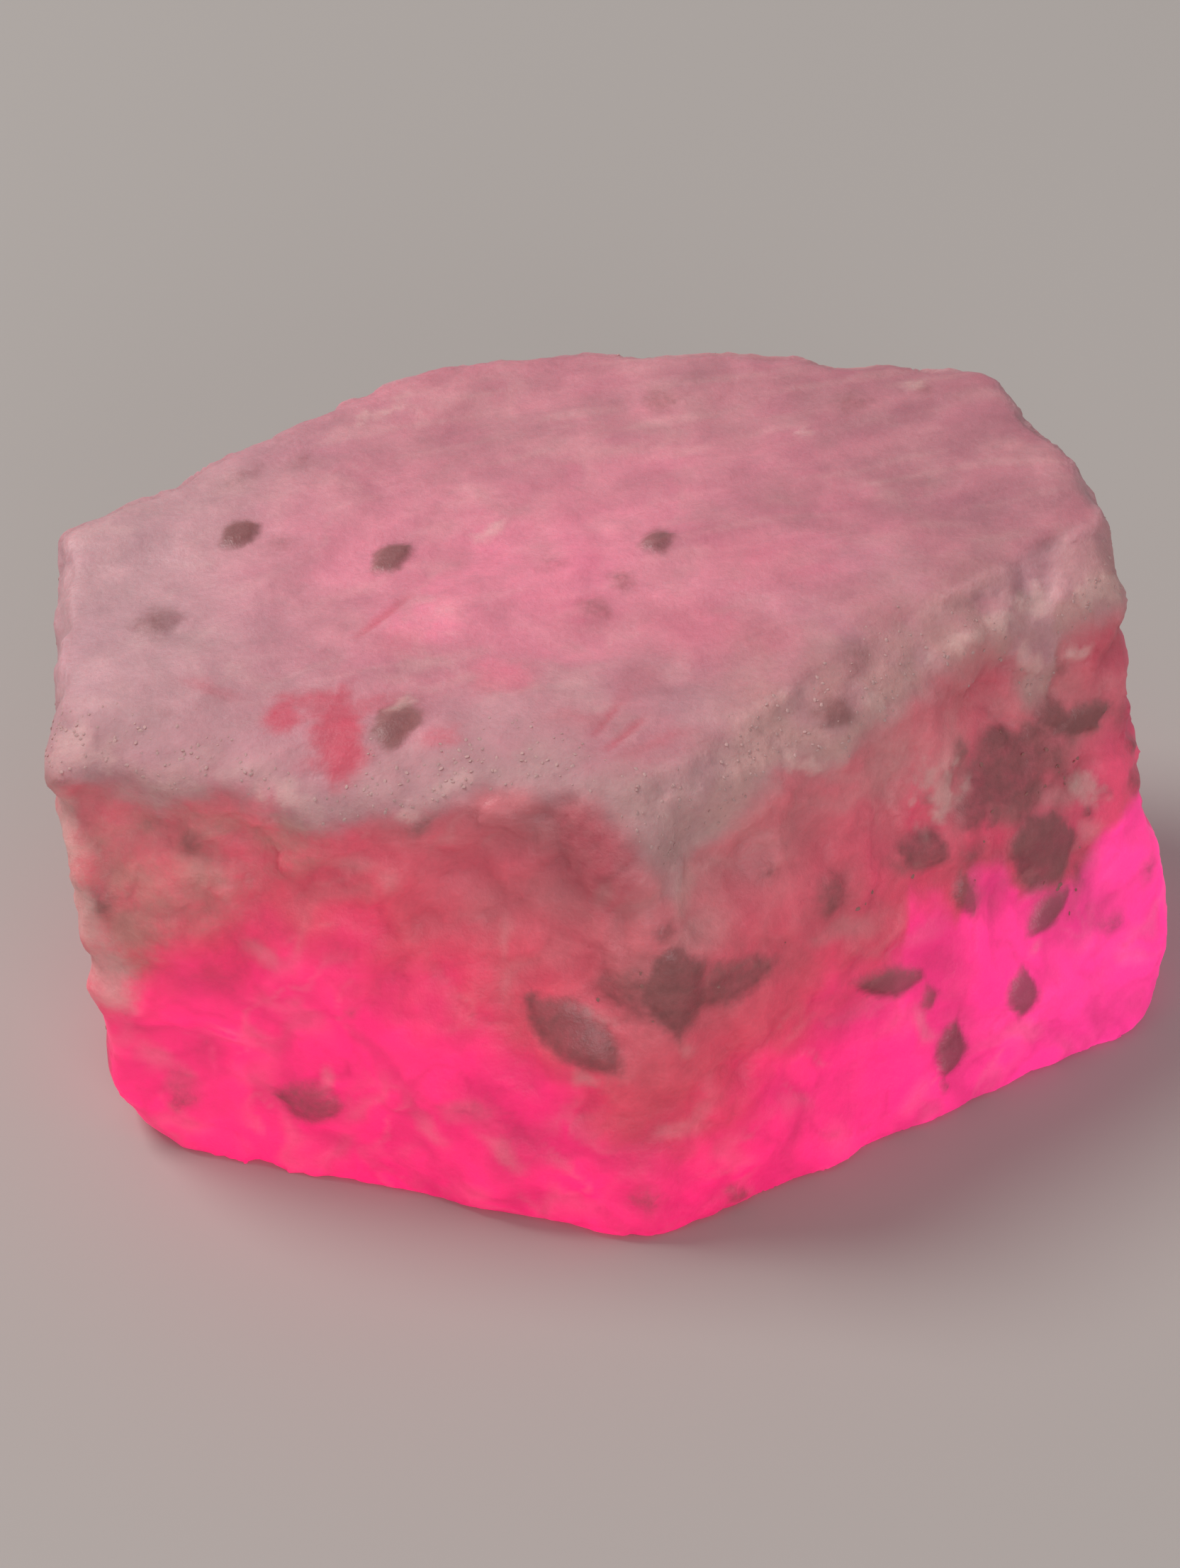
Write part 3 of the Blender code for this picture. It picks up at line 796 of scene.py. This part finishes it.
def ragged_edge_group():
    """Roughens the edge of a painted mask, so that its border is as fine as the mineral's."""
    inputs = {"Mask": 0.0, "Raggedness": 0.35, "Size": 0.35}
    tree, given, result, place = number_group("ragged_edge", inputs, ("Mask",))
    grit = noise_of(tree, place, given["Size"], 3.0, 0.65)
    swing = maths(tree, "MULTIPLY", maths(tree, "SUBTRACT", grit, 0.5), given["Raggedness"])
    # The product is a quarter halfway through the mask's edge and nothing away from it.
    edge = maths(tree, "MULTIPLY", maths(tree, "SUBTRACT", 1.0, given["Mask"]), given["Mask"])
    shift = maths(tree, "MULTIPLY", swing, maths(tree, "MULTIPLY", edge, 8.0))
    shaken = maths(tree, "ADD", given["Mask"], shift)
    clipped = add_node(tree, "ShaderNodeClamp", value=shaken)
    tree.links.new(clipped.outputs["Result"], result["Mask"])
    return tree


def new_material(name):
    material = bpy.data.materials.new(name)
    material.use_nodes = True
    return material, material.node_tree, material.node_tree.nodes["Principled BSDF"]


def shared_group(name, maker):
    found = bpy.data.node_groups.get(name)
    return found if found is not None else maker()


def mottled_by(tree, **values):
    group = shared_group("mineral_mottle", mottle_group)
    return add_node(tree, "ShaderNodeGroup", node_tree=group, **values).outputs


def stone_material(look):
    material, tree, surface = new_material("rough_ruby")
    ragged = shared_group("ragged_edge", ragged_edge_group)
    masks = {name: layer_of(tree, name) for name in PLAIN_LAYERS}
    for name, raggedness in RAGGED_LAYERS.items():
        layer = layer_of(tree, name)
        edge = add_node(tree, "ShaderNodeGroup", node_tree=ragged, mask=layer, raggedness=raggedness)
        masks[name] = edge.outputs["Mask"]
    place = tree.nodes.new("ShaderNodeTexCoord").outputs["Object"]
    rightward = add_node(tree, "ShaderNodeSeparateXYZ", vector=place).outputs["X"]
    mottled = mottled_by(tree, cloud_size=1.6, grit_size=0.22, contrast=0.4)

    def times(first, second):
        return maths(tree, "MULTIPLY", first, second)

    def swung(mask, factor, offset):
        return maths(tree, "MULTIPLY_ADD", mask, factor, offset)

    def coated(under, coats):
        for name, most, over in coats:
            under = blend_in(tree, times(masks[name], most), under, over)
        return under

    # Streaks of the parted top, drawn out along the lamellae.
    turned = add_node(
        tree, "ShaderNodeMapping", vector_type="TEXTURE", vector=place,
        rotation=(0.0, 0.0, STREAK_TURN), scale=(0.0055, 0.0013, 0.0055),
    )
    streak = add_node(
        tree, "ShaderNodeTexNoise", vector=turned.outputs["Vector"],
        scale=1.0, detail=4.0, roughness=0.62, distortion=0.6,
    ).outputs["Fac"]
    streaked = swung(between(tree, streak, 0.36, 0.66), 0.3, times(masks["streak"], 0.55))
    top = blend_in(tree, streaked, look.top, look.streak)
    # Painted highlight: the gleam coat paints pale streaks of sheen into the top.
    top = coated(top, (("gleam", 0.15, look.pale), ("haze", 0.9, look.mauve), ("heart", 0.85, look.heart)))

    flesh = blend_in(tree, masks["ember"], look.flesh, look.ember)
    flesh = blend_in(tree, masks["glow"], flesh, look.foot)
    body = blend_in(tree, masks["top"], flesh, top)
    cloudy = times(masks["cloud"], swung(masks["ember"], -0.17, 0.22))
    body = blend_in(tree, cloudy, body, look.pale)
    # The crust is paler and tan on the right.
    crust = blend_in(tree, between(tree, rightward, -0.002, 0.004), look.crust, look.crust_tan)
    # Painted light: the grains' lit facets are painted in a paler copy of the grain colour.
    grain = blend_in(tree, masks["facet"], look.grain, look.grain_lit_facet)
    coats = (
        ("vein", 0.42, look.pale), ("crust", 0.9, crust), ("red", 0.92, look.red), ("moss", 0.75, look.moss),
        ("scratch", 0.5, look.red), ("stain", 0.75, look.stain), ("grain", 0.94, grain),
        ("pale", 0.65, look.pale),
    )
    body = coated(body, coats)

    # Painted light and shade: raised places are painted lighter and hollows darker, and the shade layer
    # darkens its places further.
    value = times(swung(masks["relief"], 0.30, 0.85), mottled["Brightness"])
    value = times(value, swung(masks["shade"], -0.22, 1.0))
    shaded = add_node(tree, "ShaderNodeHueSaturation", color=body, value=value)
    tree.links.new(shaded.outputs["Color"], surface.inputs["Base Color"])

    # The foot shines rose on the left and magenta on the right.
    hue = blend_in(tree, between(tree, rightward, 0.004, 0.016), look.glow_rose, look.glow_magenta)
    lit = swung(masks["ember"], 0.22, times(masks["glow"], 0.78))
    for name, dulling in DULLING.items():
        lit = times(lit, swung(masks[name], -dulling, 1.0))
    lit = times(lit, times(value, swung(masks["cloud"], -0.5, 1.22)))
    light = blend_in(tree, lit, (0.0, 0.0, 0.0, 1.0), hue)
    tree.links.new(light, surface.inputs["Emission Color"])
    surface.inputs["Emission Strength"].default_value = look.glow_strength

    rough = swung(masks["crust"], 0.22, 0.42)
    rough = swung(mottled["Speckle"], 0.25, rough)
    rough = swung(masks["grain"], -0.12, rough)
    tree.links.new(rough, surface.inputs["Roughness"])
    height = swung(streak, masks["parting"], mottled["Height"])
    tree.links.new(bump_of(tree, height, strength=0.7, distance=0.00015), surface.inputs["Normal"])

    surface.inputs["IOR"].default_value = 1.6
    surface.inputs["Subsurface Weight"].default_value = look.haze
    surface.inputs["Subsurface Radius"].default_value = (1.0, 0.30, 0.35)
    surface.inputs["Subsurface Scale"].default_value = 0.0011
    return material


def crystal_material(name, tint, roughness):
    material, tree, surface = new_material(name)
    mottled = mottled_by(tree, cloud_size=0.5, grit_size=0.12, contrast=0.5)
    shaded = add_node(tree, "ShaderNodeHueSaturation", color=tint, value=mottled["Brightness"])
    tree.links.new(shaded.outputs["Color"], surface.inputs["Base Color"])
    rough = maths(tree, "MULTIPLY_ADD", mottled["Speckle"], 0.2, roughness)
    tree.links.new(rough, surface.inputs["Roughness"])
    tree.links.new(bump_of(tree, mottled["Height"], distance=0.00003), surface.inputs["Normal"])
    return material


def strewn_crystals_tree():
    """Strews small faceted crystals over a surface, half sunk in it, where a painted layer leaves room."""
    tree = bpy.data.node_groups.new("strewn_crystals", "GeometryNodeTree")
    for name, kind in (
        ("Geometry", "NodeSocketGeometry"), ("Density", "NodeSocketFloat"), ("Smallest", "NodeSocketFloat"),
        ("Largest", "NodeSocketFloat"), ("Thickness", "NodeSocketFloat"), ("Room", "NodeSocketString"),
        ("Seed", "NodeSocketInt"), ("Material", "NodeSocketMaterial"),
    ):
        tree.interface.new_socket(name, in_out="INPUT", socket_type=kind)
    tree.interface.new_socket("Geometry", in_out="OUTPUT", socket_type="NodeSocketGeometry")
    given = tree.nodes.new("NodeGroupInput").outputs
    seed = given["Seed"]

    room = add_node(tree, "GeometryNodeInputNamedAttribute", data_type="FLOAT", name=given["Room"])
    crowd = maths(tree, "MULTIPLY", room.outputs["Attribute"], given["Density"])
    surface = given["Geometry"]
    spots = add_node(tree, "GeometryNodeDistributePointsOnFaces", mesh=surface, density=crowd, seed=seed)
    spots = spots.outputs

    crystal = add_node(tree, "GeometryNodeMeshIcoSphere", radius=1.0, subdivisions=1).outputs["Mesh"]
    shape = add_node(tree, "ShaderNodeCombineXYZ", x=1.0, y=0.7, z=given["Thickness"]).outputs["Vector"]
    squashed = add_node(tree, "GeometryNodeTransform", scale=shape, geometry=crystal).outputs["Geometry"]

    turn = add_node(
        tree, "FunctionNodeRandomValue", data_type="FLOAT_VECTOR", seed=seed,
        min=(-0.5, -0.5, -math.pi), max=(0.5, 0.5, math.pi),
    )
    tilted = add_node(
        tree, "FunctionNodeRotateRotation", rotation_space="LOCAL",
        rotation=spots["Rotation"], rotate_by=turn.outputs[0],
    )
    size = add_node(tree, "FunctionNodeRandomValue", data_type="FLOAT", seed=seed)
    feed(tree, size.inputs[2], given["Smallest"])
    feed(tree, size.inputs[3], given["Largest"])

    placed = add_node(
        tree, "GeometryNodeInstanceOnPoints", points=spots["Points"], instance=squashed,
        rotation=tilted.outputs["Rotation"], scale=size.outputs[1],
    )
    real = add_node(tree, "GeometryNodeRealizeInstances", geometry=placed.outputs["Instances"])
    finish = add_node(
        tree, "GeometryNodeSetMaterial", geometry=real.outputs["Geometry"], material=given["Material"]
    )
    tree.links.new(finish.outputs["Geometry"], tree.nodes.new("NodeGroupOutput").inputs["Geometry"])
    return tree


def finished(piece, *replaced):
    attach(piece, BODY)
    if replaced:
        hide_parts(*replaced)


def strew(name, look, material, thickness, room, seed):
    """Makes one piece of crystals strewn over the stone."""
    tree = shared_group("strewn_crystals", strewn_crystals_tree)
    piece = new_piece(name, bpy.data.objects["ruby_stone"].data.copy())
    piece.data.materials.clear()
    strewn = piece.modifiers.new("strewn", "NODES")
    strewn.node_group = tree
    values = {
        "Density": look.density, "Smallest": look.smallest, "Largest": look.largest,
        "Thickness": thickness, "Room": room, "Seed": seed, "Material": material,
    }
    sockets = {item.name: item.identifier for item in tree.interface.items_tree if item.in_out == "INPUT"}
    for label, value in values.items():
        strewn[sockets[label]] = value
    settled(piece)
    if not piece.data.polygons:
        raise RuntimeError(f"{name}: no crystals were strewn")
    finished(piece)


class ROUGHRUBY_OT_stone(Operator):
    """Build the stone: one worn skin with its relief, minerals and glow"""

    bl_idname = "rough_ruby.stone"
    bl_label = "Build Stone"

    def execute(self, context):
        look = context.scene.rough_ruby_stone
        noise.seed_set(SEED)
        stone = solid_copy("ruby_stone")
        skin = stone.modifiers.new("skin", "REMESH")
        skin.mode = "VOXEL"
        skin.voxel_size = look.voxel
        worn = stone.modifiers.new("worn", "SMOOTH")
        worn.factor = 0.5
        worn.iterations = look.wear
        settled(stone)
        carve_and_paint(stone.data, look)
        stone.data.shade_smooth()
        stone.data.materials.append(stone_material(look))
        finished(stone, NODE)
        return {"FINISHED"}


class ROUGHRUBY_OT_crumbs(Operator):
    """Strew the sugary pale crystals over the crust"""

    bl_idname = "rough_ruby.crumbs"
    bl_label = "Strew Pale Crumbs"

    def execute(self, context):
        look = context.scene.rough_ruby_crumbs
        material = crystal_material("pale_crumb", look.tint, roughness=0.62)
        strew("pale_crumbs", look, material, thickness=0.35, room="crumb_room", seed=SEED)
        return {"FINISHED"}


class ROUGHRUBY_OT_specks(Operator):
    """Strew the tiny dark crystals in the stains"""

    bl_idname = "rough_ruby.specks"
    bl_label = "Strew Dark Specks"

    def execute(self, context):
        look = context.scene.rough_ruby_specks
        material = crystal_material("dark_speck", look.tint, roughness=0.42)
        strew("dark_specks", look, material, thickness=0.22, room="speck_room", seed=SEED + 1)
        return {"FINISHED"}


def soft_light(name, place, aim, size, power, tint=(1.0, 1.0, 1.0)):
    light = bpy.data.lights.new(name, "AREA")
    light.shape = "DISK"
    light.size = size
    light.energy = power
    light.color = tint
    lamp = bpy.data.objects.new(name, light)
    lamp.location = place
    lamp.rotation_euler = (Vector(aim) - Vector(place)).to_track_quat("-Z", "Y").to_euler()
    bpy.context.scene.collection.objects.link(lamp)


class ROUGHRUBY_OT_stage(Operator):
    """Set the camera, the pale floor and the soft studio light"""

    bl_idname = "rough_ruby.stage"
    bl_label = "Set Stage"

    def execute(self, context):
        look = context.scene.rough_ruby_stage
        scene = context.scene

        camera = bpy.data.cameras.new("camera")
        camera.sensor_width = 36.0
        camera.lens = look.lens
        camera.clip_start = 0.005
        view = bpy.data.objects.new("camera", camera)
        turn = Matrix((MAP_RIGHT, MAP_UP, MAP_OUT)).transposed()
        view.matrix_world = turn.to_4x4()
        view.location = CAMERA_AIM * MM + MAP_OUT * look.distance
        scene.collection.objects.link(view)
        scene.camera = view

        shape = bmesh.new()
        bmesh.ops.create_grid(shape, x_segments=2, y_segments=2, size=3.0)
        mesh = bpy.data.meshes.new("floor")
        shape.to_mesh(mesh)
        shape.free()
        floor = new_piece("floor", mesh)
        material, _, surface = new_material("pale_floor")
        surface.inputs["Base Color"].default_value = tuple(look.floor)
        surface.inputs["Roughness"].default_value = 0.9
        mesh.materials.append(material)

        soft_light("key", KEY_PLACE, LIGHT_AIM, 0.20, look.key_power, (1.0, 0.985, 0.96))
        soft_light("fill", FILL_PLACE, LIGHT_AIM, 0.25, look.fill_power, (0.98, 0.99, 1.0))
        world = bpy.data.worlds.new("studio")
        world.use_nodes = True
        world.node_tree.nodes["Background"].inputs["Color"].default_value = (0.98, 0.98, 1.0, 1.0)
        world.node_tree.nodes["Background"].inputs["Strength"].default_value = look.sky
        scene.world = world
        scene.view_settings.view_transform = "Standard"
        return {"FINISHED"}


class ROUGHRUBY_PT_panel(Panel):
    """The rough ruby's steps and values"""

    bl_idname = "ROUGHRUBY_PT_panel"
    bl_label = "Rough Ruby"
    bl_space_type = "VIEW_3D"
    bl_region_type = "UI"
    bl_category = "Rough Ruby"

    def draw(self, context):
        for step, group in STEPS:
            box = self.layout.box()
            box.operator(step.bl_idname)
            values = getattr(context.scene, group)
            for name in values.__annotations__:
                box.prop(values, name)


STEPS = (
    (ROUGHRUBY_OT_stage, "rough_ruby_stage"),
    (ROUGHRUBY_OT_stone, "rough_ruby_stone"),
    (ROUGHRUBY_OT_crumbs, "rough_ruby_crumbs"),
    (ROUGHRUBY_OT_specks, "rough_ruby_specks"),
)
LOOKS = {
    "rough_ruby_stage": StageLook,
    "rough_ruby_stone": StoneLook,
    "rough_ruby_crumbs": CrumbLook,
    "rough_ruby_specks": SpeckLook,
}
CLASSES = (*LOOKS.values(), *[step for step, _ in STEPS], ROUGHRUBY_PT_panel)


def register():
    for one in CLASSES:
        bpy.utils.register_class(one)
    for name, look in LOOKS.items():
        setattr(bpy.types.Scene, name, PointerProperty(type=look))


def unregister():
    for name in LOOKS:
        delattr(bpy.types.Scene, name)
    for one in reversed(CLASSES):
        bpy.utils.unregister_class(one)


def main():
    register()
    bpy.ops.rough_ruby.stage()
    bpy.ops.rough_ruby.stone()
    bpy.ops.rough_ruby.crumbs()
    bpy.ops.rough_ruby.specks()


if __name__ == "__main__":
    main()
